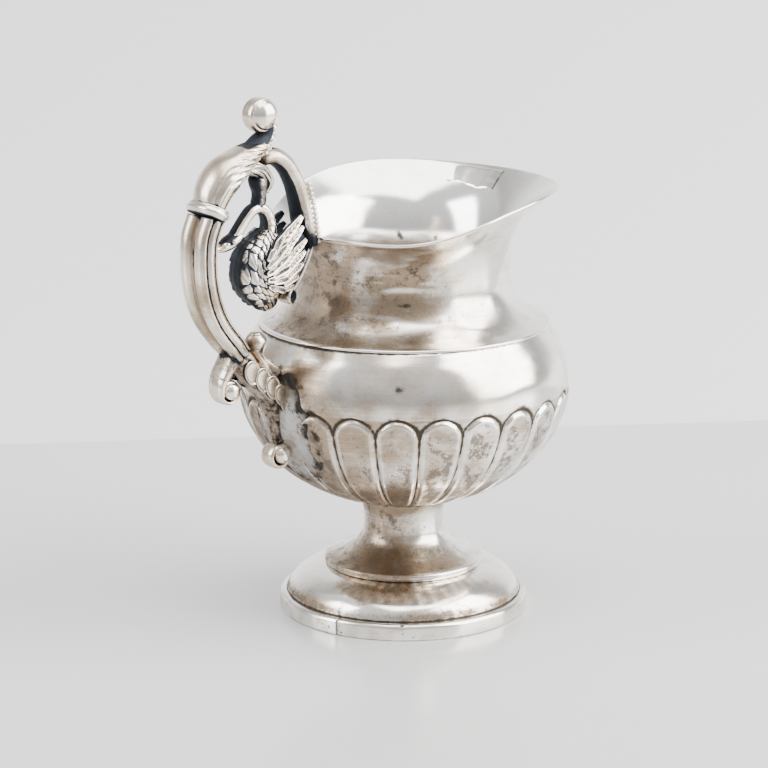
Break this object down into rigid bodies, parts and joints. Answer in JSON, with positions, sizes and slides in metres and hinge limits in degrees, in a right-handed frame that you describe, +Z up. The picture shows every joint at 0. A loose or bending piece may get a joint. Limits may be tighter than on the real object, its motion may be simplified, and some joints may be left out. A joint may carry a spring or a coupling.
{
  "type": "cream jug",
  "caption": "Silver cream jug on a round pedestal foot, with chased tongues round the bowl, a broad raised lip and a cast handle that holds a swan.",
  "frame": {"origin": "centre of the foot's resting plane, on the jug's own axis", "axes": "+Z up along the jug's axis, +X towards the pouring lip, -X towards the handle"},
  "size_m": [0.1112, 0.0858, 0.1385],
  "materials": {
    "sheet_silver": "polished sterling silver sheet with warm grey-brown tarnish, darker in the grooves and on the neck by the handle",
    "cast_silver": "cast and chased silver, warm polished high points with blue-black oxide in the recesses",
    "solder_grey": "matt grey silver solder, uneven and oxidised"
  },
  "bodies": {
    "root": {"foot_rim_band": "sheet_silver", "foot_dome": "sheet_silver", "stem": "sheet_silver", "bowl": "sheet_silver", "shoulder_ring": "sheet_silver", "neck": "sheet_silver", "lip_patch": "sheet_silver", "handle_strap": "cast_silver", "handle_collar": "cast_silver", "leaf_sheath": "cast_silver", "thumb_neck": "cast_silver", "thumb_ball": "cast_silver", "thumb_bosses": "cast_silver", "upper_arm": "cast_silver", "under_leaf": "cast_silver", "pendant_stem": "cast_silver", "swan_neck": "cast_silver", "swan_head": "cast_silver", "swan_body": "cast_silver", "swan_wing_near": "cast_silver", "swan_wing_far": "cast_silver", "swan_tail": "cast_silver", "volute_arm": "cast_silver", "lower_volute": "cast_silver", "volute_bosses": "cast_silver", "bracket_leaf": "cast_silver", "terminal_scroll": "cast_silver", "terminal_bosses": "cast_silver", "scroll_bud": "cast_silver", "solder_plate": "solder_grey"}
  },
  "joints": []
}
